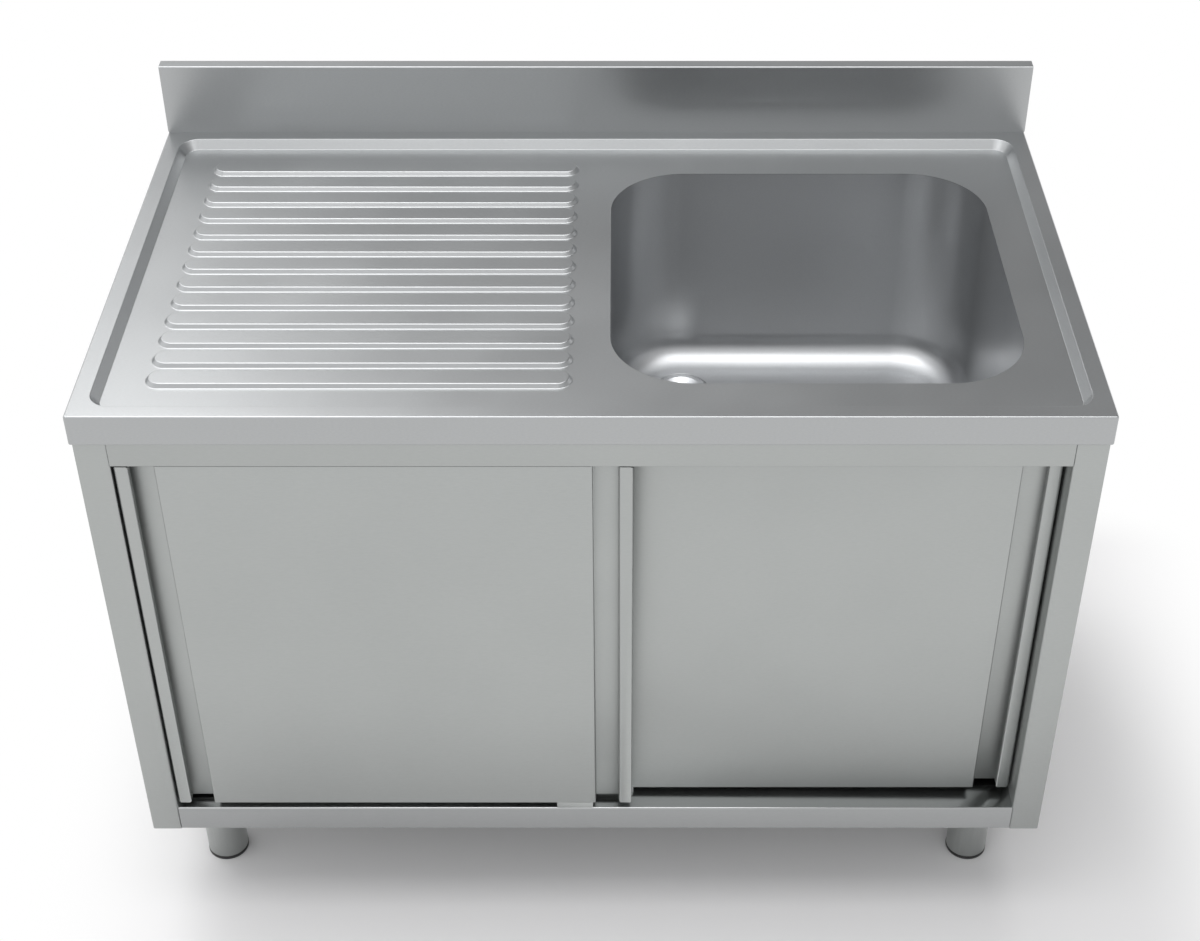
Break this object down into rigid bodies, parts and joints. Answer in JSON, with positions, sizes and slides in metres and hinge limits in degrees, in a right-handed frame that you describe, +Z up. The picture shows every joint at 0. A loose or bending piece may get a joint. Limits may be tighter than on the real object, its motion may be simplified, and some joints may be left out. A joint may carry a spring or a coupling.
{
  "type": "sink cabinet",
  "caption": "Stainless steel sink cabinet with a ribbed drainer, deep square bowl, rear upstand, sliding doors with grip bars, and adjustable round legs",
  "frame": {"origin": "On the floor, centred under the bounding box of the whole cabinet", "axes": "+X to the right seen from the front, along the longest side; -Y faces the user, +Y is the wall side with the upstand; +Z up"},
  "size_m": [1.2, 0.7, 0.95],
  "materials": {
    "satin_steel": "satin brushed",
    "bowl_steel": "satin drawn",
    "zinc_steel": "zinc plated",
    "chrome_trim": "polished",
    "black_rubber": "matte",
    "white_plastic": "moulded",
    "black_plastic": "moulded"
  },
  "bodies": {
    "cabinet": {"worktop": "satin_steel", "upstand_cap_left": "satin_steel", "upstand_cap_right": "satin_steel", "bowl": "bowl_steel", "deck_stiffener_left": "zinc_steel", "deck_stiffener_right": "zinc_steel", "waste_grid": "chrome_trim", "waste_seal_top": "black_rubber", "waste_seal_bottom": "black_rubber", "waste_cup": "white_plastic", "waste_screw": "chrome_trim", "side_left": "satin_steel", "side_right": "satin_steel", "back_panel": "satin_steel", "floor_shelf": "satin_steel", "leg_channel_front": "satin_steel", "leg_channel_back": "satin_steel", "front_rail": "satin_steel", "door_track": "zinc_steel", "stop_front_left": "black_rubber", "stop_front_right": "black_rubber", "stop_rear_left": "black_rubber", "stop_rear_right": "black_rubber", "guide_front": "satin_steel", "guide_rear": "satin_steel", "leg_front_left": "satin_steel", "leg_front_right": "satin_steel", "leg_back_left": "satin_steel", "leg_back_right": "satin_steel"},
    "front_door": {"front_door_skin": "satin_steel", "front_door_liner": "satin_steel", "front_door_grip_left": "satin_steel", "front_door_grip_right": "satin_steel", "front_hanger_left": "zinc_steel", "front_hanger_right": "zinc_steel", "front_axle_left": "zinc_steel", "front_axle_right": "zinc_steel"},
    "rear_door": {"rear_door_skin": "satin_steel", "rear_door_liner": "satin_steel", "rear_door_grip_left": "satin_steel", "rear_door_grip_right": "satin_steel", "rear_hanger_left": "zinc_steel", "rear_hanger_right": "zinc_steel", "rear_axle_left": "zinc_steel", "rear_axle_right": "zinc_steel"},
    "front_wheel_left_body": {"front_wheel_left": "white_plastic"},
    "front_wheel_right_body": {"front_wheel_right": "white_plastic"},
    "rear_wheel_left_body": {"rear_wheel_left": "white_plastic"},
    "rear_wheel_right_body": {"rear_wheel_right": "white_plastic"},
    "foot_front_left_body": {"foot_front_left": "black_plastic"},
    "foot_front_right_body": {"foot_front_right": "black_plastic"},
    "foot_back_left_body": {"foot_back_left": "black_plastic"},
    "foot_back_right_body": {"foot_back_right": "black_plastic"}
  },
  "joints": [
    {"name": "front_door_slide", "type": "slide", "parent": "cabinet", "child": "front_door", "axis": [1, 0, 0], "range_m": [0, 0.507]},
    {"name": "rear_door_slide", "type": "slide", "parent": "cabinet", "child": "rear_door", "axis": [-1, 0, 0], "range_m": [0, 0.507]},
    {"name": "front_wheel_left_spin", "type": "hinge", "parent": "front_door", "child": "front_wheel_left_body", "pos_m": [-0.4554, -0.3332, 0.8124], "axis": [0, 1, 0], "range_deg": [-10, 2920]},
    {"name": "front_wheel_right_spin", "type": "hinge", "parent": "front_door", "child": "front_wheel_right_body", "pos_m": [-0.0517, -0.3332, 0.8124], "axis": [0, 1, 0], "range_deg": [-10, 2920]},
    {"name": "rear_wheel_left_spin", "type": "hinge", "parent": "rear_door", "child": "rear_wheel_left_body", "pos_m": [0.0517, -0.3052, 0.8124], "axis": [0, -1, 0], "range_deg": [-10, 2920]},
    {"name": "rear_wheel_right_spin", "type": "hinge", "parent": "rear_door", "child": "rear_wheel_right_body", "pos_m": [0.4554, -0.3052, 0.8124], "axis": [0, -1, 0], "range_deg": [-10, 2920]},
    {"name": "foot_front_left_screw", "type": "slide", "parent": "cabinet", "child": "foot_front_left_body", "axis": [0, 0, -1], "range_m": [0, 0.04]},
    {"name": "foot_front_right_screw", "type": "slide", "parent": "cabinet", "child": "foot_front_right_body", "axis": [0, 0, -1], "range_m": [0, 0.04]},
    {"name": "foot_back_left_screw", "type": "slide", "parent": "cabinet", "child": "foot_back_left_body", "axis": [0, 0, -1], "range_m": [0, 0.04]},
    {"name": "foot_back_right_screw", "type": "slide", "parent": "cabinet", "child": "foot_back_right_body", "axis": [0, 0, -1], "range_m": [0, 0.04]}
  ],
  "couplings": [
    {"joint": "front_wheel_left_spin", "follows": "front_door_slide", "rad_per_m": 100},
    {"joint": "front_wheel_right_spin", "follows": "front_door_slide", "rad_per_m": 100},
    {"joint": "rear_wheel_left_spin", "follows": "rear_door_slide", "rad_per_m": 100},
    {"joint": "rear_wheel_right_spin", "follows": "rear_door_slide", "rad_per_m": 100}
  ]
}
